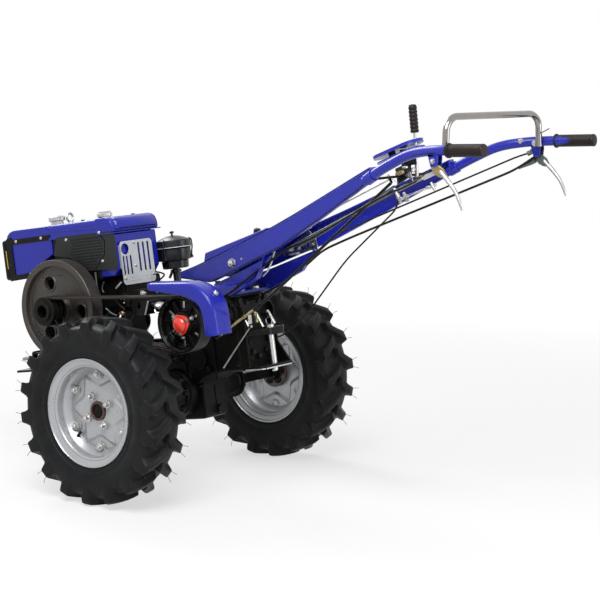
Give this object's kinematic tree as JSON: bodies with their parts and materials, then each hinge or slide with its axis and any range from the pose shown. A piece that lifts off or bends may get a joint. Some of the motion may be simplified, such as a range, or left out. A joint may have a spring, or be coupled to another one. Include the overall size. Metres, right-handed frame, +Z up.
{
  "type": "walking tractor",
  "caption": "Two-wheel walking tractor with a water-cooled engine ahead of the axle, long handle arms with hand levers, lugged tyres, rear towing jaw and a folding front stand.",
  "frame": {"origin": "on the floor under the middle of the overall length, on the centre line", "axes": "+X forwards to the engine end, +Y to the left side where the flywheel and belts are, +Z up; the machine is parked on its wheels and front stand, leaning 9 degrees nose down"},
  "size_m": [2.2907, 1.1162, 1.3698],
  "materials": {
    "tyre_rubber": "matt moulded rubber",
    "rim_silver": "silver paint, satin",
    "hub_brown": "dark red-brown paint",
    "cast_black": "black enamel over rough casting",
    "black_paint": "semi-gloss black paint",
    "blue_paint": "gloss blue paint",
    "bright_steel": "zinc plated",
    "chrome_tube": "polished",
    "black_plastic": "satin moulded plastic",
    "red_paint": "gloss red paint",
    "belt_rubber": "matt",
    "cable_black": "black sleeve"
  },
  "bodies": {
    "frame": {"gearbox": "cast_black", "axle_housings": "cast_black", "clutch_housing": "cast_black", "steering_arms": "bright_steel", "chassis_rails": "black_paint", "front_hitch": "black_paint", "front_loop": "chrome_tube", "stand_bracket": "black_paint", "engine_block": "cast_black", "cylinder_head": "cast_black", "flywheel": "cast_black", "engine_pulley": "cast_black", "clutch_pulley": "cast_black", "clutch_cap": "red_paint", "drive_belts": "belt_rubber", "belt_guard": "blue_paint", "radiator_tank": "blue_paint", "tank_cradle": "black_paint", "fuel_tank": "blue_paint", "filler_caps": "bright_steel", "lifting_eye": "bright_steel", "side_grille": "black_paint", "muffler_box": "blue_paint", "muffler_guard": "bright_steel", "air_cleaner": "black_paint", "intake_pipe": "black_paint", "left_arm": "blue_paint", "right_arm": "blue_paint", "handle_tubes": "blue_paint", "hand_grips": "black_plastic", "hand_levers": "bright_steel", "armrest_hoop": "chrome_tube", "handle_base": "blue_paint", "arm_cover": "blue_paint", "arm_brace": "black_paint", "gear_tray": "blue_paint", "gear_lever": "chrome_tube", "shift_rod": "bright_steel", "clutch_rod": "cable_black", "control_cables": "cable_black", "hitch_bracket": "cast_black", "hitch_pin": "bright_steel"},
    "left_wheel": {"left_tyre": "tyre_rubber", "left_rim": "rim_silver", "left_hub": "hub_brown"},
    "right_wheel": {"right_tyre": "tyre_rubber", "right_rim": "rim_silver", "right_hub": "hub_brown"},
    "stand": {"front_stand": "black_paint"}
  },
  "joints": [
    {"name": "left_wheel_spin", "type": "hinge", "parent": "frame", "child": "left_wheel", "pos_m": [0.2849, 0.475, 0.32], "axis": [0, 1, 0], "continuous": true},
    {"name": "right_wheel_spin", "type": "hinge", "parent": "frame", "child": "right_wheel", "pos_m": [0.2849, -0.475, 0.32], "axis": [0, 1, 0], "continuous": true},
    {"name": "stand_fold", "type": "hinge", "parent": "frame", "child": "stand", "pos_m": [0.97923, 0, 0.29305], "axis": [0, 1, 0], "range_deg": [0, 104]}
  ]
}
